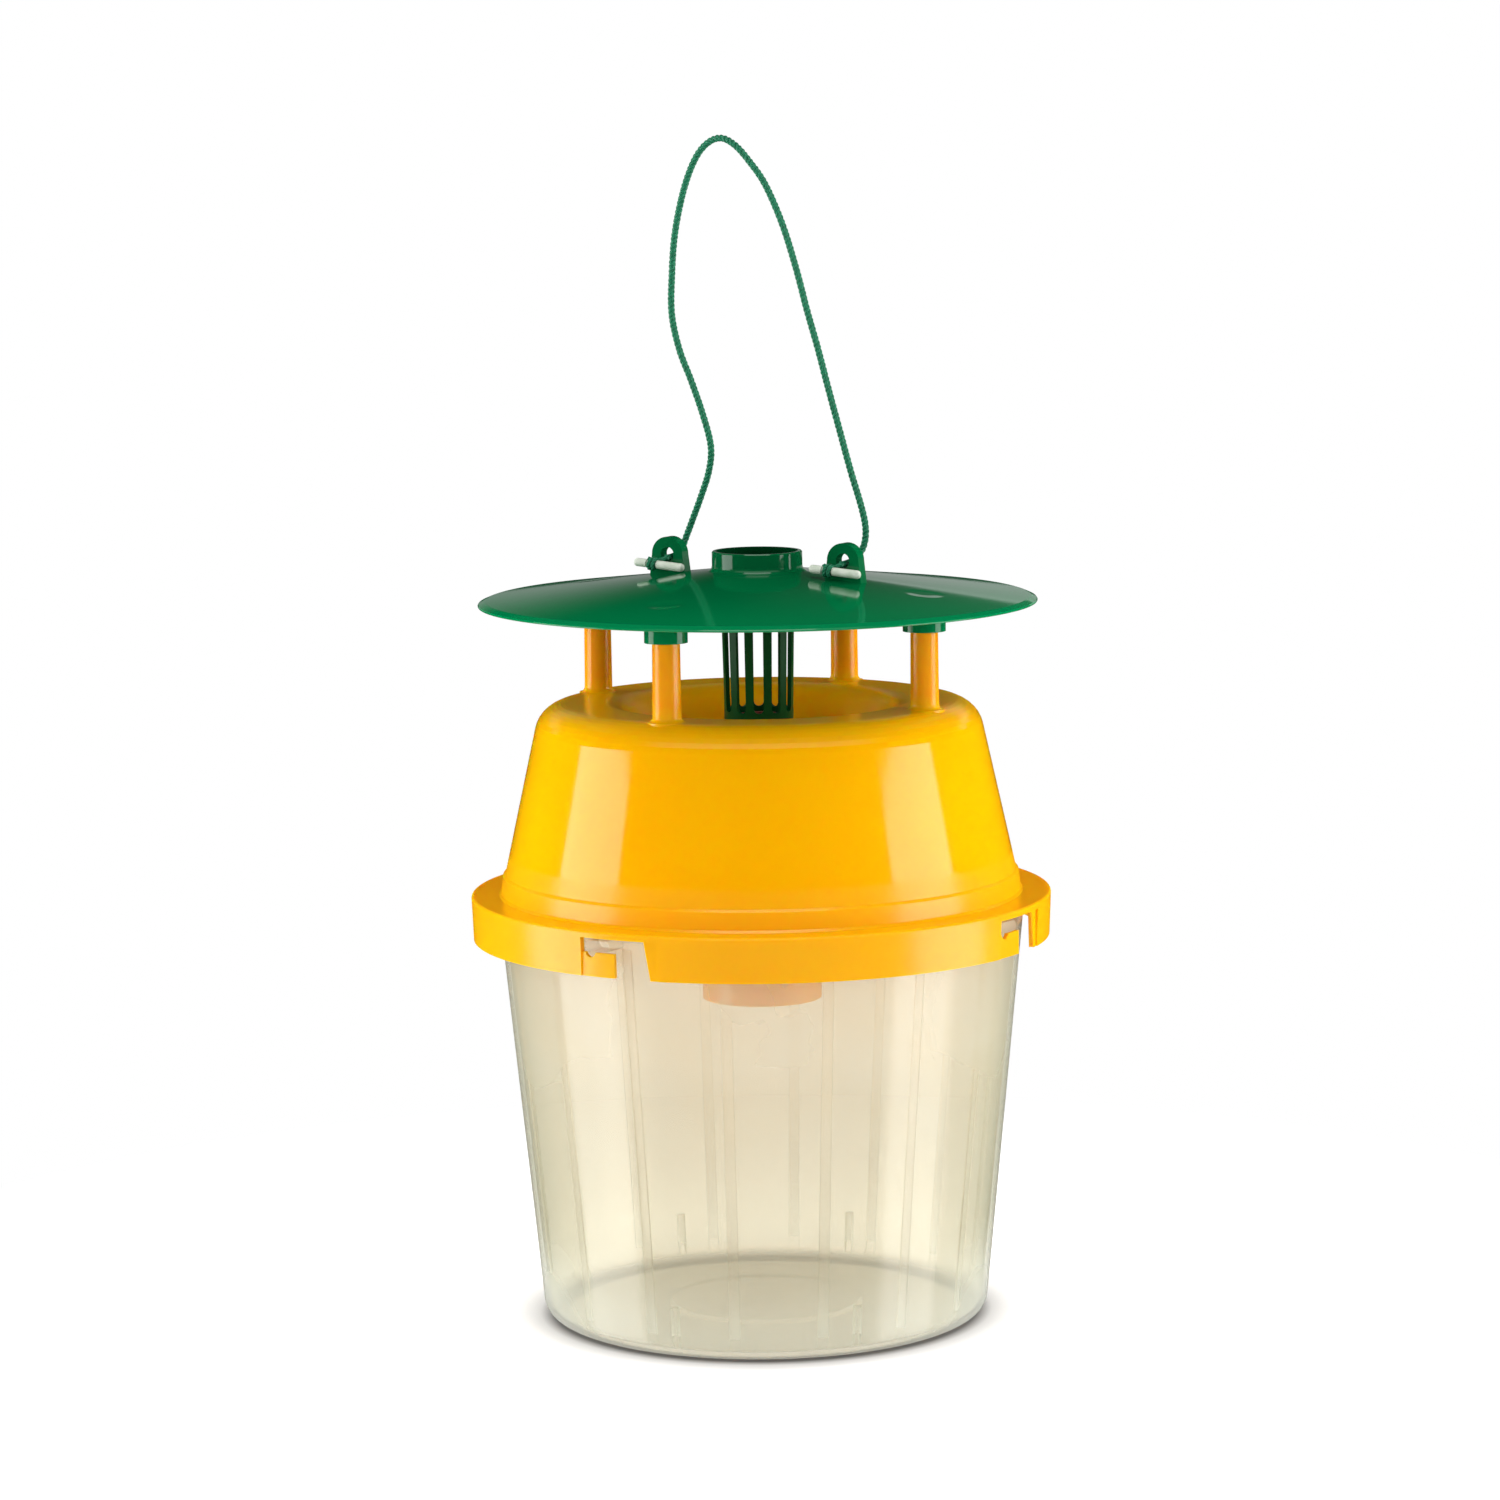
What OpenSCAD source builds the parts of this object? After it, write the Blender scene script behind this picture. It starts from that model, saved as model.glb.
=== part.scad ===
// Hanging funnel trap for flying insects: a clear bucket, a funnel that twists onto it,
// a rain lid that pushes onto four posts, a lure cage that drops through the lid and
// a cord with two toggles to hang it by. Millimetres, +Z up.
// The origin is the centre of the bucket's base. Azimuths are degrees from the front (-Y)
// towards the right (+X).

/* [Bucket] */
// Height of the bucket from its base to the top of its rim
bucket_h = 119.9; // [90:0.1:170]
// Outer radius of the wall at the rim
bucket_rim_r = 75; // [65:0.1:90]
// Lean of the wall from upright, in degrees
bucket_draft = 5.57; // [3:0.01:8]
// Thickness of the wall
bucket_wall = 1.5; // [1.2:0.1:2.5]
// Thickness of the floor
bucket_floor = 1.8; // [1.2:0.1:4]
// Radius of the rounded edge round the base
base_fillet = 5; // [3:0.1:8]
// How far the bead at the rim stands out from the wall
rim_bead_w = 1; // [0.5:0.1:1.5]
// Height of the bead at the rim
rim_bead_h = 1; // [0.6:0.1:2]
// Number of upright ribs inside the wall
rib_count = 16; // [8:2:24]
// Width of a rib
rib_w = 3; // [1.5:0.1:5]
// How far a rib stands in from the wall
rib_depth = 0.5; // [0.3:0.1:1.5]
// Height of the short ribs that keep stacked buckets apart
stack_rib_h = 12; // [6:0.5:25]
// Radius of the raised disc in the middle of the floor
floor_disc_r = 27; // [15:0.5:40]
// Height of the raised disc
floor_disc_h = 1.2; // [0.6:0.1:3]

/* [Bayonet] */
// Azimuth of the first of the four bucket lugs
lug_az = -33.3; // [-40:0.1:-20]
// Angle that one lug spans
lug_span = 5.8; // [4:0.1:8]
// Height of a lug
lug_h = 3; // [2:0.1:4]
// Angle that the funnel turns from open to locked
lock_twist = 7.1; // [7:0.1:9]
// Depth of the panel that is sunk into the skirt round each slot
panel_depth = 0.8; // [0.3:0.1:1]

/* [Funnel] */
// Radial room between the bucket's wall and the skirt
skirt_room = 5.7; // [4:0.1:8]
// Thickness of the skirt
skirt_wall = 1.8; // [1.5:0.1:3]
// Height of the skirt from its lower edge to the top of the flange
skirt_h = 12.5; // [10:0.1:20]
// Thickness of the flange
flange_t = 1.8; // [1.2:0.1:3]
// Wall of the dome, the funnel and the spout
funnel_wall = 2; // [1.2:0.1:3]
// Height of the dome above the flange
dome_h = 54.3; // [45:0.1:75]
// Lean of the dome's wall from upright, in degrees
dome_draft = 12.5; // [8:0.1:15]
// Radius of the dome's shoulder
shoulder_r = 9; // [6:0.1:12]
// Width of the flat crest
crest_w = 11; // [8:0.1:14]
// Radius where the crest turns down into the funnel
lip_r = 7.4; // [4:0.1:10]
// Half angle of the funnel, in degrees from its axis
funnel_angle = 30; // [25:0.5:36]
// Outer radius of the spout
spout_r = 17; // [13:0.1:20]
// Distance from the top of the flange down to the end of the spout
spout_drop = 31; // [20:0.5:45]
// Height of the band round the foot of the dome
band_h = 5.5; // [3:0.1:9]
// How far the band's upper edge stands out from the dome
band_step = 0.6; // [0.3:0.1:1]

/* [Posts] */
// Azimuth of the first of the four posts
post_az = -28.6; // [-45:0.1:45]
// Radius of a post at its foot
post_r = 4; // [3:0.1:4.5]
// How much a post narrows to its top, on the radius
post_taper = 0.2; // [0:0.05:0.5]
// Open height between the crest and the sockets under the lid
entry_h = 21.9; // [15:0.1:40]
// Radius of the bore that hollows a post from below
post_core_r = 1.9; // [1:0.1:2.2]

/* [Lid] */
// Outer radius of the lid
lid_r = 79.1; // [70:0.1:100]
// Slope of the lid from level, in degrees
lid_slope = 6.8; // [4:0.1:12]
// Thickness of the lid
lid_t = 1.3; // [1:0.1:2]
// Width of the band that turns down round the lid's edge
brim_w = 2.2; // [1.6:0.1:4]
// How far the band drops
brim_drop = 0.9; // [0.6:0.1:3]
// Height of the upright face below the band
brim_h = 0.6; // [0.5:0.1:3]
// Depth of a socket that takes a post
socket_depth = 7.6; // [5:0.1:12]
// Wall of a socket
socket_wall = 2; // [1.2:0.1:3]
// Plastic over the end of a post, up to the top of the lid
roof_t = 2.6; // [1.8:0.1:4]
// Outer radius of the collar in the middle of the lid
collar_r = 12.8; // [12:0.1:18]
// Height of the collar above the lid
collar_h = 5.5; // [4:0.1:12]
// Wall of the collar
collar_wall = 1.2; // [1:0.1:2]
// Thickness of the ledge that carries the cage
ledge_t = 1.5; // [1:0.1:3]

/* [Ears] */
// Distance of each ear from the axis
ear_x = 28.2; // [26:0.1:34]
// Radius of an ear's round top
ear_r = 4.95; // [4:0.05:6.5]
// Thickness of an ear
ear_t = 3.6; // [2.4:0.1:4]
// Height of the ear's hole above the lid
ear_hole_h = 5.5; // [5:0.1:9]
// Radius of the ear's hole
ear_hole_r = 2.1; // [1.6:0.05:2.5]

/* [Cage] */
// Length of the cage below its flange
cage_len = 50.5; // [44:0.5:54]
// Height of the solid cup at the bottom of the cage
cup_h = 11.7; // [8:0.1:20]
// Wall of the cage
cage_wall = 1.2; // [0.8:0.1:2]
// Thickness of the cage's flange
cage_flange_t = 1.6; // [1:0.1:3]
// How much the cage narrows to its bottom, on the radius
cage_taper = 0.95; // [0:0.05:2]
// Number of slots in the cage
slot_count = 12; // [8:2:14]
// Width of a slot
slot_w = 2.8; // [1.5:0.1:3]

/* [Lure] */
// Radius of the rubber lure
lure_r = 6.5; // [4:0.1:7]
// Height of the rubber lure
lure_h = 9; // [5:0.5:10]

/* [Cord and toggles] */
// Diameter of the hanging cord
cord_d = 2; // [1.6:0.1:2.2]
// Radius of a toggle
toggle_r = 1.2; // [1:0.05:1.4]
// Length of a toggle
toggle_len = 16; // [12:0.5:20]

/* [Fits] */
// Gap under a part that rests on another
seat_gap = 0.2; // [0.1:0.05:0.3]
// Gap beside a part that slides on or off
slide_gap = 0.1; // [0.06:0.01:0.1]
// Gap round the parts of the bayonet
bayonet_gap = 0.3; // [0.2:0.05:0.4]

/* [Hidden] */
$fn = 96;
QUARTERS = [0, 90, 180, 270];
cut = 1; // how far a cutting shape runs past what it cuts

// ---- bucket
bucket_slope = tan(bucket_draft);
function bucket_r(z) = bucket_rim_r - (bucket_h - z) * bucket_slope;
wall_h = bucket_wall / cos(bucket_draft); // the wall's thickness, measured level
rib_az = -8; // azimuth of the first rib
stack_rib_w = 2;
stack_rib_depth = 2;
stack_rib_azs = [-24, 24, 156, 204];

// ---- bayonet
lug_top_z = bucket_h - 0.5;
lug_low_z = lug_top_z - lug_h;
skirt_in_r = bucket_rim_r + skirt_room;
skirt_out_r = skirt_in_r + skirt_wall;
skirt_draft_w = 0.45; // how much narrower the skirt is at its lower edge
panel_r = skirt_out_r - panel_depth;
lug_out_r = panel_r - 0.1;
lug_play = 0.22; // angle left free at each side of a lug in its entry
lug_end_play = 0.6; // angle left free at the closed end of a slot
slot_start = lug_az - lug_span / 2 - lug_end_play;
entry_start = lug_az + lock_twist - lug_span / 2 - lug_play;
entry_end = lug_az + lock_twist + lug_span / 2 + lug_play;
entry_flare = 1.5; // extra angle of the entry at the skirt's lower edge
panel_end = entry_end + 2.9;
notch_r = 1.7; // rounded notch in the shelf under a locked lug

// ---- funnel
flange_low_z = bucket_h + bayonet_gap;
flange_z = flange_low_z + flange_t;
skirt_low_z = flange_z - skirt_h;
crest_z = flange_z + dome_h;
dome_foot_r = bucket_rim_r - 1;
function dome_r(z) = dome_foot_r - (z - flange_z) * tan(dome_draft);
shoulder_c = [dome_foot_r - (shoulder_r + sin(dome_draft) * (dome_h - shoulder_r)) / cos(dome_draft),
              crest_z - shoulder_r];
lip_c = [shoulder_c[0] - crest_w, crest_z - lip_r];
lip_out = [-cos(funnel_angle), sin(funnel_angle)];
spout_in_r = spout_r - funnel_wall;
spout_z = flange_z - spout_drop;

// ---- posts and lid
post_circle = shoulder_c[0] - 2.1;
socket_z = crest_z + entry_h;
post_top_z = socket_z + socket_depth;
post_root_z = crest_z - funnel_wall;
post_h = post_top_z - crest_z;
post_foot_r = 1.5; // fillet at a post's foot
socket_roof_z = post_top_z + seat_gap;
socket_r = post_r + socket_wall;
function lid_z(r) = socket_roof_z + roof_t - (r - post_circle) * tan(lid_slope);
function post_radius(z) = post_r - post_taper * (z - crest_z) / post_h;
brim_top_z = lid_z(lid_r - brim_w) - brim_drop;
brim_low_z = brim_top_z - brim_h;
brim_round = 0.3; // round lower edge of the lid
brim_in_r = lid_r - lid_t;
brim_ease = 0.2; // softened corner over the brim's upright face
bend_ease = 0.5; // softened bend where the brim leaves the cone
bend_in = 0.8; // how far inside the bend the underside turns down
collar_z = lid_z(collar_r);
collar_top_z = collar_z + collar_h;
collar_in_r = collar_r - collar_wall;
ledge_w = 0.7;
lid_hole_r = collar_in_r - ledge_w;
neck_z = collar_z - lid_t - ledge_t;
ledge_z = neck_z + ledge_t;

// ---- ears
ear_hole_z = lid_z(ear_x) + ear_hole_h;
ear_flare = 0.8; // how much wider an ear is at its foot, on each side

// ---- cage and lure
cage_z = ledge_z + seat_gap;
cage_r = lid_hole_r - 0.3;
cage_low_z = cage_z - cage_len;
cage_low_r = cage_r - cage_taper;
cage_floor = 1.5;
slot_low_z = cage_low_z + cup_h;
slot_top_z = cage_z - 4;
lure_z = cage_low_z + cage_floor + seat_gap;

// ---- cord, in the ears' frame: x from ear to ear, y behind them, z up
cord_sides = 8;
cord_steps = 2; // rings in each stretch between two route points
cord_end_y = -2.7;
ROUTE = [
    [-28, -2.7, 216], [-28, 0, 216], [-28, 3.5, 216.5], [-27.5, 6, 218.5], [-26.5, 7, 222],
    [-24.5, 6.5, 226], [-21.5, 6.5, 233], [-18.5, 6, 240.5], [-17.5, 5.5, 247.5], [-19.5, 5, 256],
    [-23, 4.5, 266], [-26.5, 4, 275], [-28.5, 3.5, 285], [-28, 3, 296], [-26.5, 2.5, 308],
    [-23.5, 2.5, 320], [-19.5, 2, 328.5], [-15.5, 2, 333], [-11, 2, 334.5], [-6.5, 2, 332.5],
    [-2, 2, 328], [3, 2, 321.5], [8, 2.5, 310.5], [12, 3, 298], [15, 3.5, 286.5],
    [18, 4, 276], [21, 4.5, 264.5], [24, 5.5, 252.5], [27, 6, 241.5], [30, 6.5, 231.5],
    [31, 7, 225.5], [30.5, 7, 221], [29.5, 5.5, 218], [28.5, 3, 216.5], [28, 0, 216], [28, -2.7, 216]
];

// ---- toggles and hitches
toggle_y = -5;
toggle_z = ear_hole_z - 2.8;
toggle_shift = -0.8; // a toggle's middle, from its ear
toggle_tilt = 4.7; // the right end hangs lower
wrap_shift = -2.3; // the hitch, from the toggle's middle
groove_r = toggle_r - 0.5;
groove_w = 2.8;
turn_r = 0.6; // radius of the cord where it is pulled tight round the toggle
turn_ring_r = groove_r + turn_r + 0.05;
turn_pitch = 1.3;
knee_r = 0.9; // radius of the cord's knee in front of the ear's hole
cord_end_x = 28;
cord_end_z = 216;

// ---- shared helpers
function arc(c, r, from, to, n = 8) =
    [for (i = [0:n]) c + r * [cos(from + (to - from) * i / n), sin(from + (to - from) * i / n)]];

module at_azimuth(az, r) {
    rotate([0, 0, az])
        translate([0, -r, 0])
            children();
}

// A ring between two radii and two heights, over a range of azimuths
module ring_sector(r_in, r_out, z_low, z_top, az_from, az_to) {
    rotate([0, 0, az_from - 90])
        rotate_extrude(angle = az_to - az_from)
            translate([r_in, z_low])
                square([r_out - r_in, z_top - z_low]);
}

// A round rod from point a to point b
module rod(a, b, r) {
    d = b - a;
    translate(a)
        rotate([0, acos(d[2] / norm(d)), atan2(d[1], d[0])])
            cylinder(r = r, h = norm(d), $fn = 24);
}

module in_ear_frame() {
    rotate([0, 0, post_az])
        children();
}

// ---- bucket
// Profile of a leaning cup, its wall set in by inset and its floor at height low
function cup_profile(inset, low, fillet, top) =
    let (
        half = (90 - bucket_draft) / 2,
        corner = bucket_r(low) - inset,
        flat_r = corner - fillet * tan(half),
        c = [flat_r, low + fillet]
    )
    concat(
        [[0, low]],
        arc(c, fillet, -90, -bucket_draft),
        [[bucket_r(top) - inset, top], [0, top]]
    );

module bucket_shell() {
    rotate_extrude()
        polygon(cup_profile(0, 0, base_fillet, bucket_h));
    bead_r = bucket_rim_r + rim_bead_w;
    rotate_extrude()
        polygon([
            [bucket_rim_r - bucket_wall, bucket_h - rim_bead_h],
            [bucket_rim_r - 0.1, bucket_h - rim_bead_h - 0.6],
            [bead_r - 0.2, bucket_h - rim_bead_h],
            [bead_r, bucket_h - rim_bead_h / 2],
            [bead_r - 0.2, bucket_h],
            [bucket_rim_r - bucket_wall, bucket_h]
        ]);
}

module bucket_cavity(inset) {
    rotate_extrude()
        polygon(cup_profile(wall_h + inset, bucket_floor, base_fillet - bucket_wall, bucket_h + cut));
}

module rib_slabs() {
    for (i = [0:rib_count / 2 - 1])
        rotate([0, 0, rib_az + i * 360 / rib_count])
            translate([-rib_w / 2, -2 * bucket_rim_r, 0])
                cube([rib_w, 4 * bucket_rim_r, bucket_h - 4]);
}

module stack_rib(az) {
    foot_z = bucket_floor + 0.5;
    at_azimuth(az, bucket_r(foot_z) - wall_h)
        rotate([bucket_draft, 0, 0])
            translate([-stack_rib_w / 2, -0.5, foot_z])
                cube([stack_rib_w, stack_rib_depth + 0.5, stack_rib_h]);
}

module lug(az) {
    mid_z = lug_low_z + lug_h / 2;
    half_w = lug_out_r * sin(lug_span / 2);
    end_r = lug_h / 2;
    intersection() {
        at_azimuth(az, 0)
            translate([0, 0, mid_z])
                rotate([90, 0, 0])
                    linear_extrude(lug_out_r + cut) {
                        square([2 * (half_w - end_r), lug_h], center = true);
                        for (s = [-1, 1])
                            translate([s * (half_w - end_r), 0])
                                circle(end_r);
                    }
        difference() {
            cylinder(r = lug_out_r, h = bucket_h);
            cylinder(r = bucket_rim_r - wall_h / 2, h = bucket_h);
        }
    }
}

module bucket() {
    color("antiquewhite", 0.6) {
        difference() {
            bucket_shell();
            bucket_cavity(rib_depth);
            difference() {
                bucket_cavity(0);
                rib_slabs();
            }
        }
        for (az = stack_rib_azs)
            stack_rib(az);
        translate([0, 0, bucket_floor - 0.4])
            cylinder(r1 = floor_disc_r + floor_disc_h, r2 = floor_disc_r, h = floor_disc_h + 0.4);
        for (q = QUARTERS)
            lug(lug_az + q);
    }
}

// ---- funnel body
function funnel_outside() =
    concat(
        [
            [skirt_out_r - skirt_draft_w, skirt_low_z],
            [skirt_out_r, flange_z - 0.8]
        ],
        arc([skirt_out_r - 0.8, flange_z - 0.8], 0.8, 0, 90, 4),
        [
            [dome_foot_r + 0.6, flange_z],
            [dome_foot_r - 0.1, flange_z + 0.7],
            [dome_r(flange_z + band_h) + band_step, flange_z + band_h],
            [dome_r(flange_z + band_h + 0.7), flange_z + band_h + 0.7]
        ],
        arc(shoulder_c, shoulder_r, dome_draft, 90),
        arc(lip_c, lip_r, 90, 180 - funnel_angle),
        [
            [spout_in_r, lip_end(lip_r)[1] - (lip_end(lip_r)[0] - spout_in_r) / tan(funnel_angle)],
            [spout_in_r, spout_z]
        ]
    );

function lip_end(r) = lip_c + r * lip_out;

function funnel_inside() =
    concat(
        [
            [spout_r, spout_z],
            [spout_r, inner_end[1] - (inner_end[0] - spout_r) / tan(funnel_angle)]
        ],
        arc(lip_c, lip_r - funnel_wall, 180 - funnel_angle, 90),
        arc(shoulder_c, shoulder_r - funnel_wall, 90, dome_draft),
        [
            [dome_r(flange_low_z) - funnel_wall / cos(dome_draft), flange_low_z],
            [skirt_in_r, flange_low_z],
            [skirt_in_r - skirt_draft_w, skirt_low_z]
        ]
    );

inner_end = lip_end(lip_r - funnel_wall);

module post() {
    at_azimuth(post_az, post_circle) {
        translate([0, 0, post_root_z])
            cylinder(r = post_r, h = crest_z - post_root_z);
        rotate_extrude()
            polygon(concat(
                [[0, post_root_z], [post_r + post_foot_r, post_root_z]],
                arc([post_r + post_foot_r, crest_z + post_foot_r], post_foot_r, 270, 180, 5),
                [
                    [post_radius(post_top_z - 0.5), post_top_z - 0.5],
                    [post_radius(post_top_z) - 0.5, post_top_z],
                    [0, post_top_z]
                ]
            ));
    }
}

// What is cut from the skirt round one lug: the sunk panel, the track, the entry and the notch
module bayonet_slot() {
    ring_sector(panel_r, skirt_out_r + cut, skirt_low_z - cut, flange_low_z, slot_start, panel_end);
    in_r = skirt_in_r - skirt_draft_w - cut;
    track_low_z = lug_low_z - bayonet_gap;
    ring_sector(in_r, skirt_out_r, track_low_z, flange_low_z, slot_start, entry_end);
    entry_mid = (entry_start + entry_end) / 2;
    half_w = panel_r * sin((entry_end - entry_start) / 2);
    flare_w = panel_r * sin(entry_flare);
    at_azimuth(entry_mid, in_r)
        rotate([90, 0, 0])
            linear_extrude(skirt_out_r - in_r + cut)
                polygon([
                    [-half_w, skirt_low_z - cut],
                    [half_w + flare_w, skirt_low_z - cut],
                    [half_w, flange_low_z],
                    [-half_w, flange_low_z]
                ]);
    at_azimuth(slot_start + 2, in_r)
        translate([0, 0, track_low_z + 0.3])
            rotate([90, 0, 0])
                cylinder(r = notch_r, h = skirt_out_r - in_r + cut, $fn = 32);
}

module funnel_body() {
    color("orange")
        difference() {
            union() {
                rotate_extrude()
                    polygon(concat(funnel_outside(), funnel_inside()));
                for (q = QUARTERS)
                    rotate([0, 0, q])
                        post();
            }
            for (q = QUARTERS)
                rotate([0, 0, q]) {
                    bayonet_slot();
                    at_azimuth(post_az, post_circle)
                        translate([0, 0, post_root_z - cut])
                            cylinder(r = post_core_r, h = socket_z - post_root_z);
                }
        }
}

// ---- lid
module lid_plate() {
    fillet = 1.6;
    bend_r = lid_r - brim_w;
    rotate_extrude()
        polygon(concat(
            [
                [lid_hole_r, neck_z],
                [collar_r, neck_z],
                [collar_r, lid_z(collar_r) - lid_t],
                [bend_r - bend_in, lid_z(bend_r - bend_in) - lid_t],
                [brim_in_r, brim_low_z]
            ],
            arc([lid_r - brim_round, brim_low_z + brim_round], brim_round, -90, 0, 4),
            [
                [lid_r, brim_top_z - brim_ease],
                [lid_r - brim_ease, brim_top_z + brim_ease / 2],
                [bend_r + bend_ease, lid_z(bend_r + bend_ease) - brim_ease / 2],
                [bend_r, lid_z(bend_r)]
            ],
            arc([collar_r + fillet, lid_z(collar_r + fillet) + fillet], fillet, 270, 180, 5),
            [
                [collar_r, collar_top_z - 0.3],
                [collar_r - 0.3, collar_top_z],
                [collar_in_r, collar_top_z],
                [collar_in_r, ledge_z],
                [lid_hole_r, ledge_z]
            ]
        ));
}

module socket() {
    mouth_r = post_radius(socket_z) + slide_gap;
    at_azimuth(post_az, post_circle)
        difference() {
            translate([0, 0, socket_z])
                cylinder(r = socket_r, h = lid_z(post_circle + socket_r) - lid_t / 2 - socket_z);
            translate([0, 0, socket_z - cut])
                cylinder(r = mouth_r, h = socket_roof_z - socket_z + cut);
        }
}

module ear() {
    foot_z = lid_z(ear_x - ear_r) - lid_t / 2;
    foot_low_z = lid_z(ear_x + ear_r) - lid_t / 2;
    translate([0, ear_t / 2, 0])
        rotate([90, 0, 0])
            linear_extrude(ear_t)
                difference() {
                    union() {
                        translate([0, ear_hole_z])
                            circle(ear_r);
                        polygon([
                            [-ear_r - ear_flare, foot_z],
                            [ear_r + ear_flare, foot_low_z],
                            [ear_r, ear_hole_z],
                            [-ear_r, ear_hole_z]
                        ]);
                    }
                    translate([0, ear_hole_z])
                        circle(ear_hole_r);
                }
}

module lid() {
    color("seagreen") {
        difference() {
            lid_plate();
            for (q = QUARTERS)
                rotate([0, 0, q])
                    at_azimuth(post_az, post_circle)
                        translate([0, 0, socket_z])
                            cylinder(r = post_radius(socket_z) + slide_gap, h = socket_roof_z - socket_z);
        }
        for (q = QUARTERS)
            rotate([0, 0, q])
                socket();
        in_ear_frame()
            for (turn = [0, 180])
                rotate([0, 0, turn])
                    translate([ear_x, 0, 0])
                        ear();
    }
}

// ---- cage
module cage_slots() {
    slot_h = slot_top_z - slot_low_z;
    for (i = [0:slot_count / 2 - 1])
        rotate([0, 0, i * 360 / slot_count])
            translate([0, 2 * cage_r, slot_low_z])
                rotate([90, 0, 0])
                    linear_extrude(4 * cage_r) {
                        translate([-slot_w / 2, slot_w / 2])
                            square([slot_w, slot_h - slot_w]);
                        for (z = [slot_w / 2, slot_h - slot_w / 2])
                            translate([0, z])
                                circle(slot_w / 2, $fn = 24);
                    }
}

module pheromone_cage() {
    flange_r = collar_in_r - slide_gap;
    color("darkgreen")
        difference() {
            rotate_extrude()
                polygon([
                    [0, cage_low_z],
                    [cage_low_r - 1, cage_low_z],
                    [cage_low_r, cage_low_z + 1],
                    [cage_r, cage_z],
                    [flange_r, cage_z],
                    [flange_r, cage_z + cage_flange_t],
                    [cage_r - cage_wall, cage_z + cage_flange_t],
                    [cage_low_r - cage_wall, cage_low_z + cage_floor],
                    [0, cage_low_z + cage_floor]
                ]);
            cage_slots();
        }
}

// A rubber plug with a well for the attractant and a rolled lip
module lure() {
    well_r = lure_r / 2;
    color("firebrick")
        translate([0, 0, lure_z])
            rotate_extrude()
                polygon(concat(
                    [[0, 0], [lure_r - 1.8, 0], [lure_r - 1.3, 0.5], [lure_r - 1, lure_h / 2]],
                    arc([lure_r - 1, lure_h - 1], 1, 0, 90, 4),
                    [[well_r, lure_h], [well_r - 0.4, lure_h / 3], [0, lure_h / 3]]
                ));
}

// ---- cord: a tube swept along the route
function spline(a, b, c, d, t) =
    0.5 * (2 * b + (c - a) * t + (2 * a - 5 * b + 4 * c - d) * t * t + (3 * b - a - 3 * c + d) * t * t * t);
function route_at(i) = ROUTE[max(0, min(len(ROUTE) - 1, i))];
function unit(v) = v / norm(v);

module hanging_cord() {
    spans = len(ROUTE) - 1;
    path = [
        for (i = [0:spans - 1], k = [0:cord_steps - 1])
            spline(route_at(i - 1), route_at(i), route_at(i + 1), route_at(i + 2), k / cord_steps),
        route_at(spans)
    ];
    last = len(path) - 1;
    dirs = [
        for (i = [0:last])
            i == 0 || i == last ? [0, i == 0 ? 1 : -1, 0] : unit(path[i + 1] - path[i - 1])
    ];
    // the ring's first spoke stays across the loop's own plane, so that the tube doesn't twist
    loop_in = [0, -0.6, 0.8];
    sides = [for (d = dirs) unit(cross(d, unit(cross(loop_in, d)) + [0.001, 0, 0]))];
    points = [
        for (i = [0:last], s = [0:cord_sides - 1])
            let (a = 360 * s / cord_sides, u = sides[i], w = cross(dirs[i], u))
                path[i] + cord_d / 2 * (cos(a) * u + sin(a) * w)
    ];
    skin = [
        for (i = [0:last - 1], s = [0:cord_sides - 1])
            let (a = i * cord_sides + s, b = i * cord_sides + (s + 1) % cord_sides)
                [a, a + cord_sides, b + cord_sides, b]
    ];
    ends = [
        [for (s = [0:cord_sides - 1]) s],
        [for (s = [cord_sides - 1:-1:0]) last * cord_sides + s]
    ];
    color("green")
        in_ear_frame()
            polyhedron(points, concat(skin, ends));
}

// ---- toggles and the hitches that hold the cord on them
module at_toggle(side) {
    translate([side * ear_x + toggle_shift, toggle_y, toggle_z])
        rotate([0, toggle_tilt, 0])
            children();
}

module toggle(side) {
    half = toggle_len / 2;
    round_r = toggle_r * 0.8;
    color("honeydew")
        in_ear_frame()
            at_toggle(side)
                rotate([0, 90, 0])
                    rotate_extrude($fn = 32)
                        polygon(concat(
                            [[0, -half]],
                            arc([toggle_r - round_r, round_r - half], round_r, -90, 0, 4),
                            [
                                [toggle_r, wrap_shift - groove_w / 2 - 0.3],
                                [groove_r, wrap_shift - groove_w / 2],
                                [groove_r, wrap_shift + groove_w / 2],
                                [toggle_r, wrap_shift + groove_w / 2 + 0.3]
                            ],
                            arc([toggle_r - round_r, half - round_r], round_r, 0, 90, 4),
                            [[0, half]]
                        ));
}

module hitch(side) {
    wrap = [
        side * ear_x + toggle_shift + wrap_shift * cos(toggle_tilt),
        toggle_y,
        toggle_z - wrap_shift * sin(toggle_tilt)
    ];
    end = [side * cord_end_x, cord_end_y, cord_end_z];
    knee = end - [0, knee_r, 0];
    on_turn = wrap + [-turn_pitch / 2, turn_ring_r * cos(50), turn_ring_r * sin(50)];
    tail = wrap + [-turn_pitch / 2, -turn_ring_r * cos(40), -turn_ring_r * sin(40)];
    color("forestgreen")
        in_ear_frame() {
            rod(end, knee, knee_r);
            translate(knee)
                sphere(r = knee_r, $fn = 24);
            rod(knee, on_turn, turn_r - 0.05);
            rod(tail, tail - [0.2, 0, 0.9], turn_r - 0.1);
            translate(wrap)
                rotate([0, toggle_tilt, 0])
                    for (x = [-turn_pitch / 2, turn_pitch / 2])
                        translate([x, 0, 0])
                            rotate([0, 90, 0])
                                rotate_extrude($fn = 32)
                                    translate([turn_ring_r, 0])
                                        circle(turn_r, $fn = 24);
        }
}

module hitch_left() {
    hitch(-1);
}

module hitch_right() {
    hitch(1);
}

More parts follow.
